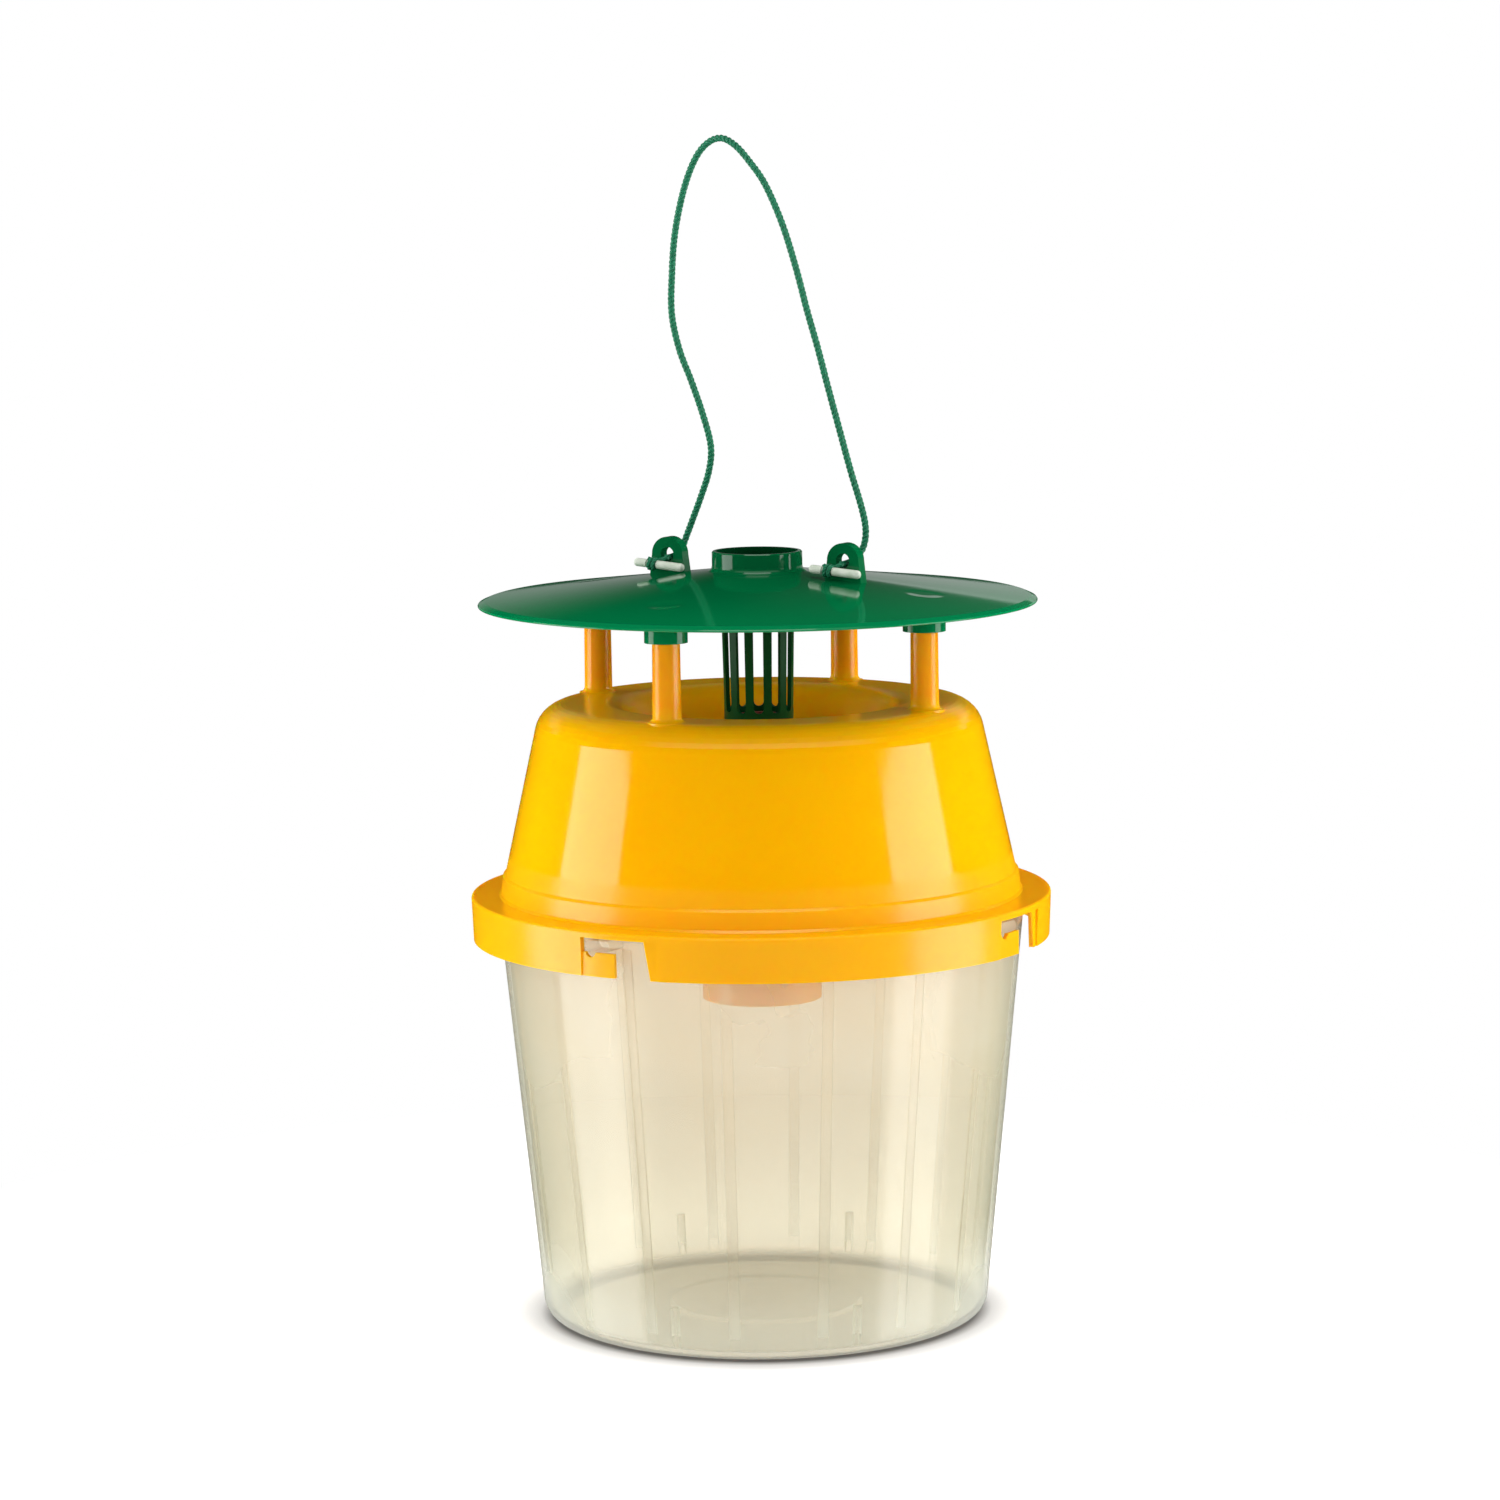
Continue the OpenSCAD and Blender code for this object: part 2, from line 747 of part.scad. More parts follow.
module toggle_left() {
    toggle(-1);
}

module toggle_right() {
    toggle(1);
}

bucket();
funnel_body();
lid();
pheromone_cage();
lure();
hanging_cord();
hitch_left();
hitch_right();
toggle_left();
toggle_right();
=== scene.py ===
from math import cos, pi, radians, sin

import bpy
from mathutils import Matrix, Quaternion, Vector


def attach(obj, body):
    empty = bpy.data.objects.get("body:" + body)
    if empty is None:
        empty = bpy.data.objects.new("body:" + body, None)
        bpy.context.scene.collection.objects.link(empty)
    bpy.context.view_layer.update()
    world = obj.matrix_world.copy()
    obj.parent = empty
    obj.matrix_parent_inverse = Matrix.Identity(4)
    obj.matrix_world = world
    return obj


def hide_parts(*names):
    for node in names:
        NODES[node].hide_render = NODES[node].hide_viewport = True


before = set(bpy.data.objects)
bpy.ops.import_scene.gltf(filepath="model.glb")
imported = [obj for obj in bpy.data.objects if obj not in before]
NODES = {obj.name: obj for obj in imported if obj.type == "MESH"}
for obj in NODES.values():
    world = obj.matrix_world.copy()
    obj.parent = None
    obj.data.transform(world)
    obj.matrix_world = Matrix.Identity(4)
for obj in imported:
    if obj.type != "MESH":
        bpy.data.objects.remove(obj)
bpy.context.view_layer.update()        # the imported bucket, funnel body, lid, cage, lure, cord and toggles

MM = 0.001

# ---------------------------------------------------------------- sizes of the mouldings
POST_AZIMUTH = radians(-28.6)
POST_CIRCLE = 52.64 * MM        # the radius that the posts stand on
COLLAR_BORE_R = 11.75 * MM
BUCKET_INNER_R = 61.8 * MM      # at the level of the base
BUCKET_SLOPE = 0.0975           # how much the wall widens for each unit of height

# ---------------------------------------------------------------- sizes of the cord
# The ears stand in line with two of the posts. x runs from ear to ear, y behind them, z up.
EAR_FRAME = Matrix.Rotation(POST_AZIMUTH, 3, "Z")
ROUTE_STEPS = 8

# The cord's middle line from the left ear's hole over the top to the right ear's hole.
ROUTE = [
    (-0.028, -0.0027, 0.216), (-0.028, 0, 0.216), (-0.028, 0.0035, 0.2165), (-0.0275, 0.006, 0.2185),
    (-0.0265, 0.007, 0.222), (-0.0245, 0.0065, 0.226), (-0.0215, 0.0065, 0.233),
    (-0.0185, 0.006, 0.2405), (-0.0175, 0.0055, 0.2475), (-0.0195, 0.005, 0.256),
    (-0.023, 0.0045, 0.266), (-0.0265, 0.004, 0.275), (-0.0285, 0.0035, 0.285),
    (-0.028, 0.003, 0.296), (-0.0265, 0.0025, 0.308), (-0.0235, 0.0025, 0.32),
    (-0.0195, 0.002, 0.3285), (-0.0155, 0.002, 0.333), (-0.011, 0.002, 0.3345),
    (-0.0065, 0.002, 0.3325), (-0.002, 0.002, 0.328), (0.003, 0.002, 0.3215),
    (0.008, 0.0025, 0.3105), (0.012, 0.003, 0.298), (0.015, 0.0035, 0.2865),
    (0.018, 0.004, 0.276), (0.021, 0.0045, 0.2645), (0.024, 0.0055, 0.2525),
    (0.027, 0.006, 0.2415), (0.03, 0.0065, 0.2315), (0.031, 0.007, 0.2255),
    (0.0305, 0.007, 0.221), (0.0295, 0.0055, 0.218), (0.0285, 0.003, 0.2165),
    (0.028, 0, 0.216), (0.028, -0.0027, 0.216),
]

# The toggles and hitches, in millimetres in the ears' frame.
EAR_X = 28.2
EAR_HOLE_Z = 217.01
TOGGLE_SHIFT = -0.8             # a toggle's middle, from its ear
TOGGLE_Y = -5
TOGGLE_Z = EAR_HOLE_Z - 2.8
TOGGLE_TILT = radians(4.7)      # its right end hangs lower
WRAP_SHIFT = -2.3               # the hitch, from the toggle's middle
TURN_R = 1.35                   # of the cord's middle line round the toggle
TURN_PITCH = 1.25
TURNS = 2.1
FIRST_TURN_AT = radians(50)
TURN_STEPS = 40


# ---------------------------------------------------------------- small helpers
def hex_colour(text):
    """An sRGB hex value as linear red, green, blue and alpha."""
    srgb = [int(text[i:i + 2], 16) / 255 for i in (0, 2, 4)]
    return [c / 12.92 if c <= 0.04045 else ((c + 0.055) / 1.055) ** 2.4 for c in srgb] + [1.0]


def in_use(sockets, name=None):
    """The first of a node's sockets that its settings leave in use, with this name if one is given."""
    return next(s for s in sockets if s.enabled and name in (None, s.name))


def add(tree, kind, settings=None, inputs=None, stops=()):
    """Adds one node. settings are its own properties. inputs go to its sockets, by name or by number:
    each is a value, or the node or socket to link from. stops are a ramp's (place, sRGB hex) pairs."""
    node = tree.nodes.new(kind)
    for name, value in (settings or {}).items():
        setattr(node, name, value)
    for name, value in (inputs or {}).items():
        socket = node.inputs[name] if isinstance(name, int) else in_use(node.inputs, name)
        if isinstance(value, bpy.types.Node):
            value = in_use(value.outputs)
        if isinstance(value, bpy.types.NodeSocket):
            tree.links.new(value, socket)
        else:
            socket.default_value = value
    for _ in stops[2:]:
        node.color_ramp.elements.new(1.0)
    for i, (place, colour) in enumerate(stops):
        node.color_ramp.elements[i].position = place
        node.color_ramp.elements[i].color = hex_colour(colour)
    return node


def new_material(name):
    """A material with an empty tree."""
    made = bpy.data.materials.new(name)
    made.use_nodes = True
    made.node_tree.nodes.clear()
    return made, made.node_tree


def round_the_axis(tree, place):
    """A place brought down to the level of the base, and how far it is from the trap's axis."""
    level = add(tree, "ShaderNodeVectorMath", {"operation": "MULTIPLY"}, {0: place, 1: (1, 1, 0)})
    return level, add(tree, "ShaderNodeVectorMath", {"operation": "LENGTH"}, {0: level})


def wear(node_name, made):
    """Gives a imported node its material."""
    slots = NODES[node_name].data.materials
    slots.clear()
    slots.append(made)


def put_in_scene(name, data):
    """A new object that holds this mesh, lamp or camera."""
    thing = bpy.data.objects.new(name, data)
    bpy.context.scene.collection.objects.link(thing)
    return thing


# ---------------------------------------------------------------- camera
def place_camera():
    """The camera in front of the trap and a little above it, looking slightly down."""
    dip = radians(7.667)
    swing = radians(-0.111)
    roll = radians(-0.726)
    forward = Vector((sin(swing) * cos(dip), cos(swing) * cos(dip), -sin(dip)))
    data = bpy.data.cameras.new("camera")
    data.sensor_width = 36
    data.lens = 117.26
    data.clip_start = 0.01
    camera = put_in_scene("camera", data)
    camera.location = (0, -1.375255, 0.347135)
    upright = forward.to_track_quat("-Z", "Y")
    camera.rotation_euler = (Quaternion(-forward, roll) @ upright).to_euler()
    bpy.context.scene.camera = camera


# ---------------------------------------------------------------- cord
def spline(points, steps):
    """A smooth line through the points, with steps stretches between each two."""
    line = []
    for i in range(len(points) - 1):
        a, b, c, d = (Vector(points[max(0, min(len(points) - 1, i + k))]) for k in (-1, 0, 1, 2))
        for k in range(steps):
            t = k / steps
            line.append(0.5 * (2 * b + (c - a) * t + (2 * a - 5 * b + 4 * c - d) * t * t
                               + (3 * b - a - 3 * c + d) * t ** 3))
    return line + [Vector(points[-1])]


def hitch_line(side):
    """From the cord's end in the ear's hole to the toggle, twice round it, and a short tail."""
    middle = Vector((side * EAR_X + TOGGLE_SHIFT + WRAP_SHIFT * cos(TOGGLE_TILT), TOGGLE_Y,
                     TOGGLE_Z - WRAP_SHIFT * sin(TOGGLE_TILT)))
    lean = Matrix.Rotation(TOGGLE_TILT, 3, "Y")
    points = [Vector((side * 28, -2.6, 216)), Vector((side * 28, -3.5, 215.9))]
    for i in range(TURN_STEPS + 1):
        angle = FIRST_TURN_AT + 2 * pi * TURNS * i / TURN_STEPS
        along = TURN_PITCH * TURNS * (0.5 - i / TURN_STEPS)
        points.append(middle + lean @ Vector((along, TURN_R * cos(angle), TURN_R * sin(angle))))
    return [p * MM for p in points]


def strand_tree(made):
    """Lays a twisted cord along a line: each strand winds round the line, once in each lay."""
    tree = bpy.data.node_groups.new("laid_cord", "GeometryNodeTree")
    face = tree.interface
    face.new_socket("Geometry", in_out="INPUT", socket_type="NodeSocketGeometry")
    face.new_socket("Geometry", in_out="OUTPUT", socket_type="NodeSocketGeometry")
    for name, kind, value in (
            ("Strands", "NodeSocketInt", 3),
            ("Lay", "NodeSocketFloat", 3.9 * MM),
            ("Strand radius", "NodeSocketFloat", 0.52 * MM),
            ("Winding radius", "NodeSocketFloat", 0.48 * MM),
            ("Step", "NodeSocketFloat", 0.3 * MM)):
        face.new_socket(name, in_out="INPUT", socket_type=kind).default_value = value
    size = add(tree, "NodeGroupInput").outputs
    line = add(tree, "GeometryNodeMeshToCurve", inputs={"Mesh": size["Geometry"]})
    even = add(tree, "GeometryNodeResampleCurve", {"mode": "LENGTH"}, {
        "Curve": line, "Length": size["Step"]})
    copies = add(tree, "GeometryNodeDuplicateElements", {"domain": "SPLINE"}, {
        "Geometry": even, "Amount": size["Strands"]})
    along = add(tree, "GeometryNodeSplineParameter").outputs["Length"]
    turns = add(tree, "ShaderNodeMath", {"operation": "DIVIDE"}, {0: along, 1: size["Lay"]})
    share = add(tree, "ShaderNodeMath", {"operation": "DIVIDE"}, {
        0: copies.outputs["Duplicate Index"], 1: size["Strands"]})
    whole = add(tree, "ShaderNodeMath", {"operation": "ADD"}, {0: turns, 1: share})
    angle = add(tree, "ShaderNodeMath", {"operation": "MULTIPLY"}, {0: whole, 1: 2 * pi})
    spoke = add(tree, "ShaderNodeVectorRotate", {"rotation_type": "AXIS_ANGLE"}, {
        "Vector": add(tree, "GeometryNodeInputNormal"),
        "Axis": add(tree, "GeometryNodeInputTangent"), "Angle": angle})
    offset = add(tree, "ShaderNodeVectorMath", {"operation": "SCALE"}, {
        0: spoke, "Scale": size["Winding radius"]})
    laid = add(tree, "GeometryNodeSetPosition", inputs={"Geometry": copies, "Offset": offset})
    marked = add(tree, "GeometryNodeStoreNamedAttribute", {"data_type": "FLOAT", "domain": "POINT"}, {
        "Geometry": laid, "Name": "cord_along", "Value": along})
    ring = add(tree, "GeometryNodeCurvePrimitiveCircle", inputs={
        "Resolution": 8, "Radius": size["Strand radius"]})
    ring = add(tree, "GeometryNodeStoreNamedAttribute", {"data_type": "FLOAT", "domain": "POINT"}, {
        "Geometry": ring, "Name": "cord_around",
        "Value": add(tree, "GeometryNodeSplineParameter").outputs["Factor"]})
    tube = add(tree, "GeometryNodeCurveToMesh", inputs={
        "Curve": marked, "Profile Curve": ring, "Fill Caps": True})
    real = add(tree, "GeometryNodeRealizeInstances", inputs={"Geometry": tube})
    smooth = add(tree, "GeometryNodeSetShadeSmooth", inputs={"Geometry": real})
    finish = add(tree, "GeometryNodeSetMaterial", inputs={"Geometry": smooth, "Material": made})
    add(tree, "NodeGroupOutput", inputs={"Geometry": finish})
    return tree


def laid_cord(name, line, tree, sizes=None):
    """Twisted cord along a line in the ears' frame, as a plain mesh."""
    placed = [EAR_FRAME @ p for p in line]
    mesh = bpy.data.meshes.new(name + "_line")
    mesh.from_pydata([tuple(p) for p in placed], [(i, i + 1) for i in range(len(placed) - 1)], [])
    seed = put_in_scene(name + "_line", mesh)
    twist = seed.modifiers.new("twist", "NODES")
    twist.node_group = tree
    for item in tree.interface.items_tree:
        if sizes and item.in_out == "INPUT" and item.name in sizes:
            twist[item.identifier] = sizes[item.name]
    evaluated = seed.evaluated_get(bpy.context.evaluated_depsgraph_get())
    twisted = bpy.data.meshes.new_from_object(evaluated)
    twisted.name = name
    bpy.data.objects.remove(seed)
    return put_in_scene(name, twisted)


def hang_the_cord():
    """The cord, and its hitches round the two toggles. All of it goes up with the lid."""
    tree = strand_tree(twisted_polypropylene())
    line = spline(ROUTE, ROUTE_STEPS)
    cord = laid_cord("cord_strands", line, tree)
    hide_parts("hanging_cord")
    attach(cord, "lid")
    # the cord is pulled tight round the toggles, and thinner there
    tight = {"Strand radius": 0.33 * MM, "Winding radius": 0.3 * MM, "Lay": 3 * MM, "Step": 0.2 * MM}
    for name, side in (("left", -1), ("right", 1)):
        hitch = laid_cord("hitch_strands_" + name, hitch_line(side), tree, tight)
        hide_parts("hitch_" + name)
        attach(hitch, "lid")


# ---------------------------------------------------------------- materials
POLYPROPYLENE_IOR = 1.49
NYLON_IOR = 1.53
RUBBER_IOR = 1.52


def twisted_polypropylene():
    """Twisted polypropylene twine: split fibres lie along each strand, and their streaks are partly their
    own tone and partly a painted sheen, lighter where they catch the light.
    """
    made, tree = new_material("twisted_green_polypropylene")
    along = add(tree, "ShaderNodeAttribute", {"attribute_name": "cord_along"}).outputs["Fac"]
    around = add(tree, "ShaderNodeAttribute", {"attribute_name": "cord_around"}).outputs["Fac"]
    # a streak is 1.4 mm long, and 12 of them go round a strand: coarser than the fibres, so that it shows
    lengthwise = add(tree, "ShaderNodeMath", {"operation": "MULTIPLY"}, {0: along, 1: 700.0})
    crosswise = add(tree, "ShaderNodeMath", {"operation": "MULTIPLY"}, {0: around, 1: 12.0})
    place = add(tree, "ShaderNodeCombineXYZ", inputs={"X": lengthwise, "Y": crosswise})
    fibre = add(tree, "ShaderNodeTexNoise", inputs={"Vector": place, "Scale": 1.0, "Detail": 3.0})
    # painted sheen: the lighter streaks of colour stand for fibres catching the light, on top of their own
    # tone
    colour = add(tree, "ShaderNodeValToRGB", inputs={"Fac": fibre}, stops=[
        (0.25, "0A5238"), (0.55, "157A55"), (0.8, "2F9A74")])
    rough = add(tree, "ShaderNodeMapRange", inputs={"Value": fibre, "To Min": 0.5, "To Max": 0.34})
    bump = add(tree, "ShaderNodeBump", inputs={
        "Strength": 0.5, "Distance": 0.1 * MM, "Height": fibre})
    shader = add(tree, "ShaderNodeBsdfPrincipled", inputs={
        "Base Color": colour, "Roughness": rough, "Normal": bump, "IOR": POLYPROPYLENE_IOR})
    add(tree, "ShaderNodeOutputMaterial", inputs={"Surface": shader})
    return made


def moulded_skin(tree, place, stops, smoothest, roughest, ripple):
    """What injection moulding leaves on a plastic: slow changes of colour and shine where the melt
    flowed, and a faint ripple of the surface. Gives its colour, roughness and bump."""
    flow = add(tree, "ShaderNodeTexNoise", inputs={
        "Vector": place, "Scale": 1 / (45 * MM), "Detail": 2.0})
    fine = add(tree, "ShaderNodeTexNoise", inputs={
        "Vector": place, "Scale": 1 / (1.2 * MM), "Detail": 4.0})
    wave = add(tree, "ShaderNodeTexNoise", inputs={
        "Vector": place, "Scale": 1 / (9 * MM), "Detail": 2.0})
    colour = add(tree, "ShaderNodeValToRGB", inputs={"Fac": flow}, stops=stops)
    uneven = add(tree, "ShaderNodeMath", {"operation": "MULTIPLY_ADD"}, {0: fine, 1: 0.4, 2: flow})
    rough = add(tree, "ShaderNodeMapRange", inputs={
        "Value": uneven, "To Min": smoothest, "To Max": roughest})
    bump = add(tree, "ShaderNodeBump", inputs={
        "Strength": ripple, "Distance": 0.05 * MM, "Height": wave})
    return colour, rough, bump


def yellow_polypropylene():
    """The funnel's plastic: light goes some way into it. The mould is polished over the dome, and
    duller on the skirt under the flange, on the crest and the posts, and down the funnel."""
    made, tree = new_material("moulded_yellow_polypropylene")
    place = add(tree, "ShaderNodeTexCoord").outputs["Object"]
    colour, polished, bump = moulded_skin(
        tree, place, [(0.3, "F9B000"), (0.7, "FCB800")], 0.06, 0.1, 0.05)
    height = add(tree, "ShaderNodeSeparateXYZ", inputs={"Vector": place}).outputs["Z"]
    _, reach = round_the_axis(tree, place)
    skirt = add(tree, "ShaderNodeMapRange", inputs={
        "Value": height, "From Min": 134 * MM, "From Max": 132.5 * MM})
    crest = add(tree, "ShaderNodeMapRange", inputs={
        "Value": height, "From Min": 171 * MM, "From Max": 176 * MM})
    throat = add(tree, "ShaderNodeMapRange", inputs={
        "Value": reach, "From Min": 58 * MM, "From Max": 54 * MM})
    upper = add(tree, "ShaderNodeMath", {"operation": "MAXIMUM"}, {0: crest, 1: throat})
    dull = add(tree, "ShaderNodeMath", {"operation": "MAXIMUM"}, {0: skirt, 1: upper})
    rough = add(tree, "ShaderNodeMix", {"data_type": "FLOAT"}, {"Factor": dull, "A": polished, "B": 0.24})
    # the posts are solid; their colour is a painted shade, a more orange tone for the shade under the lid
    # and the light bounced off the funnel
    posts = add(tree, "ShaderNodeMapRange", inputs={
        "Value": height, "From Min": 177 * MM, "From Max": 181 * MM})
    posts_painted_shade = add(tree, "ShaderNodeMix", {"data_type": "RGBA"}, {
        "Factor": posts, "A": colour, "B": hex_colour("F9A000")})
    shader = add(tree, "ShaderNodeBsdfPrincipled", inputs={
        "Base Color": posts_painted_shade, "Roughness": rough, "Normal": bump, "IOR": POLYPROPYLENE_IOR,
        "Subsurface Weight": 0.7, "Subsurface Radius": (3.4 * MM, 1.2 * MM, 0.1 * MM),
        "Subsurface Scale": 1.0})
    add(tree, "ShaderNodeOutputMaterial", inputs={"Surface": shader})
    return made


def green_polypropylene():
    """The lid's plastic: lighter towards the brim, with painted light on the brim band that faces out and a
    painted shade in the collar's bore.
    It has sunk a little over each socket."""
    made, tree = new_material("moulded_green_polypropylene")
    place = add(tree, "ShaderNodeTexCoord").outputs["Object"]
    colour, rough, bump = moulded_skin(
        tree, place, [(0.3, "00542C"), (0.7, "005C32")], 0.07, 0.1, 0.05)
    level, reach = round_the_axis(tree, place)
    # the green turns lighter towards the brim
    towards_brim = add(tree, "ShaderNodeMapRange", inputs={
        "Value": reach, "From Min": 16 * MM, "From Max": 70 * MM})
    outer = add(tree, "ShaderNodeMix", {"data_type": "RGBA"}, {
        "Factor": towards_brim, "A": colour, "B": hex_colour("007B46")})
    # painted light: the brim band that faces out is painted a lighter green, as lit more from the front
    brim = add(tree, "ShaderNodeMapRange", inputs={
        "Value": reach, "From Min": 74 * MM, "From Max": 77 * MM})
    brighter = add(tree, "ShaderNodeMix", {"data_type": "RGBA"}, {
        "Factor": brim, "A": outer, "B": hex_colour("007F4A")})
    # the collar is bored out where the cage's flange sits, and inside it the colour is a painted shade,
    # dark where little light reaches
    bore = add(tree, "ShaderNodeMath", {"operation": "LESS_THAN"}, {0: reach, 1: COLLAR_BORE_R})
    bore_painted_shade = add(tree, "ShaderNodeMix", {"data_type": "RGBA"}, {
        "Factor": bore, "A": brighter, "B": hex_colour("003318")})
    # turned to the posts and folded in four, so that two spots stand for all the sockets
    turned = add(tree, "ShaderNodeVectorRotate", {"rotation_type": "Z_AXIS"}, {
        "Vector": level, "Angle": -POST_AZIMUTH})
    folded = add(tree, "ShaderNodeVectorMath", {"operation": "ABSOLUTE"}, {0: turned})
    near_x = add(tree, "ShaderNodeVectorMath", {"operation": "DISTANCE"}, {
        0: folded, 1: (POST_CIRCLE, 0, 0)})
    near_y = add(tree, "ShaderNodeVectorMath", {"operation": "DISTANCE"}, {
        0: folded, 1: (0, POST_CIRCLE, 0)})
    nearest = add(tree, "ShaderNodeMath", {"operation": "MINIMUM"}, {0: near_x, 1: near_y})
    sink = add(tree, "ShaderNodeMapRange", {"interpolation_type": "SMOOTHSTEP"}, {
        "Value": nearest, "From Min": 2.5 * MM, "From Max": 6.5 * MM})
    dished = add(tree, "ShaderNodeBump", inputs={
        "Strength": 1.0, "Distance": 0.22 * MM, "Height": sink, "Normal": bump})
    shader = add(tree, "ShaderNodeBsdfPrincipled", inputs={
        "Base Color": bore_painted_shade, "Roughness": rough, "Normal": dished, "IOR": POLYPROPYLENE_IOR})
    add(tree, "ShaderNodeOutputMaterial", inputs={"Surface": shader})
    return made


def dark_green_polypropylene():
    """The cage's plastic, from a mould that isn't polished, so that its slats hardly shine."""
    made, tree = new_material("moulded_dark_green_polypropylene")
    place = add(tree, "ShaderNodeTexCoord").outputs["Object"]
    colour, rough, bump = moulded_skin(
        tree, place, [(0.3, "05421A"), (0.7, "074C21")], 0.3, 0.4, 0.15)
    shader = add(tree, "ShaderNodeBsdfPrincipled", inputs={
        "Base Color": colour, "Roughness": rough, "Normal": bump, "IOR": POLYPROPYLENE_IOR,
        "Specular IOR Level": 0.12})
    add(tree, "ShaderNodeOutputMaterial", inputs={"Surface": shader})
    return made


def natural_polypropylene():
    """Undyed polypropylene, moulded thin: see-through with a warm haze, which carries a painted glow
    high up and a painted shade low down, denser and cooler where seen edge on and where the ribs
    make the wall thicker, and glossy."""
    made, tree = new_material("natural_polypropylene")
    place = add(tree, "ShaderNodeTexCoord").outputs["Object"]
    height = add(tree, "ShaderNodeSeparateXYZ", inputs={"Vector": place}).outputs["Z"]
    _, reach = round_the_axis(tree, place)
    haze = add(tree, "ShaderNodeTexNoise", inputs={
        "Vector": place, "Scale": 1 / (30 * MM), "Detail": 3.0})
    edge = add(tree, "ShaderNodeLayerWeight", inputs={"Blend": 0.5}).outputs["Facing"]

    # painted light: the wall's colour is a painted warm glow high up, for the yellow funnel's light coming
    # through, and a painted shade low down
    painted_shade_low = add(tree, "ShaderNodeValToRGB", inputs={"Fac": haze}, stops=[
        (0.3, "C6BEA9"), (0.7, "CDC6B3")])
    painted_glow_high = add(tree, "ShaderNodeValToRGB", inputs={"Fac": haze}, stops=[
        (0.3, "FFF4DC"), (0.7, "FFFAEC")])
    rise = add(tree, "ShaderNodeMapRange", inputs={
        "Value": height, "From Min": 30 * MM, "From Max": 85 * MM})
    warm = add(tree, "ShaderNodeMix", {"data_type": "RGBA"}, {
        "Factor": rise, "A": painted_shade_low, "B": painted_glow_high})
    # the wall turns cooler at its edge, and paler and coolest towards the foot
    tinted = add(tree, "ShaderNodeMix", {"data_type": "RGBA"}, {
        "Factor": edge, "A": warm, "B": hex_colour("BEC4B2")})
    foot = add(tree, "ShaderNodeMapRange", {"interpolation_type": "SMOOTHSTEP"}, {
        "Value": height, "From Min": 32 * MM, "From Max": 3 * MM})
    cool = add(tree, "ShaderNodeMix", {"data_type": "RGBA"}, {
        "Factor": foot, "A": tinted, "B": hex_colour("EEF4F0")})

    # a rib stands inside the wall's own inner face, and above the base
    wall = add(tree, "ShaderNodeMath", {"operation": "MULTIPLY_ADD"}, {
        0: height, 1: BUCKET_SLOPE, 2: BUCKET_INNER_R - 0.15 * MM})
    inside = add(tree, "ShaderNodeMath", {"operation": "LESS_THAN"}, {0: reach, 1: wall})
    above = add(tree, "ShaderNodeMath", {"operation": "GREATER_THAN"}, {0: height, 1: 6 * MM})
    rib = add(tree, "ShaderNodeMath", {"operation": "MULTIPLY"}, {0: inside, 1: above})
    steep = add(tree, "ShaderNodeMath", {"operation": "POWER"}, {0: edge, 1: 2.0})
    smooth_wall = add(tree, "ShaderNodeMapRange", inputs={"Value": steep, "To Min": 0.2, "To Max": 0.5})
    upper_wall = add(tree, "ShaderNodeMath", {"operation": "MULTIPLY_ADD"}, {
        0: rise, 1: 0.07, 2: smooth_wall})
    density = add(tree, "ShaderNodeMath", {"operation": "MULTIPLY_ADD", "use_clamp": True}, {
        0: rib, 1: 0.22, 2: upper_wall})

    front_lit = add(tree, "ShaderNodeBsdfPrincipled", inputs={
        "Base Color": cool, "Roughness": 0.5, "Specular IOR Level": 0.0})
    back_lit = add(tree, "ShaderNodeBsdfTranslucent", inputs={"Color": cool})
    milk = add(tree, "ShaderNodeMixShader", inputs={0: 0.42, 1: front_lit, 2: back_lit})
    clear = add(tree, "ShaderNodeBsdfTransparent", inputs={"Color": hex_colour("FDFBF4")})
    body = add(tree, "ShaderNodeMixShader", inputs={0: density, 1: clear, 2: milk})
    rough = add(tree, "ShaderNodeMapRange", inputs={"Value": haze, "To Min": 0.12, "To Max": 0.2})
    shine = add(tree, "ShaderNodeBsdfGlossy", inputs={"Color": (1, 1, 1, 1), "Roughness": rough})
    graze = add(tree, "ShaderNodeMath", {"operation": "POWER"}, {0: edge, 1: 5.0})
    gloss = add(tree, "ShaderNodeMapRange", inputs={"Value": graze, "To Min": 0.028, "To Max": 0.6})
    whole = add(tree, "ShaderNodeMixShader", inputs={0: gloss, 1: body, 2: shine})
    add(tree, "ShaderNodeOutputMaterial", inputs={"Surface": whole})
    return made


def milky_nylon():
    """Undyed nylon rod: cloudy, and a little dull where it was cut and handled."""
    made, tree = new_material("milky_nylon_rod")
    place = add(tree, "ShaderNodeTexCoord").outputs["Object"]
    cloud = add(tree, "ShaderNodeTexNoise", inputs={
        "Vector": place, "Scale": 1 / (3 * MM), "Detail": 2.0})
    colour = add(tree, "ShaderNodeValToRGB", inputs={"Fac": cloud}, stops=[
        (0.3, "C3CFBC"), (0.7, "DDE3D6")])
    rough = add(tree, "ShaderNodeMapRange", inputs={"Value": cloud, "To Min": 0.28, "To Max": 0.4})
    shader = add(tree, "ShaderNodeBsdfPrincipled", inputs={
        "Base Color": colour, "Roughness": rough, "IOR": NYLON_IOR})
    add(tree, "ShaderNodeOutputMaterial", inputs={"Surface": shader})
    return made


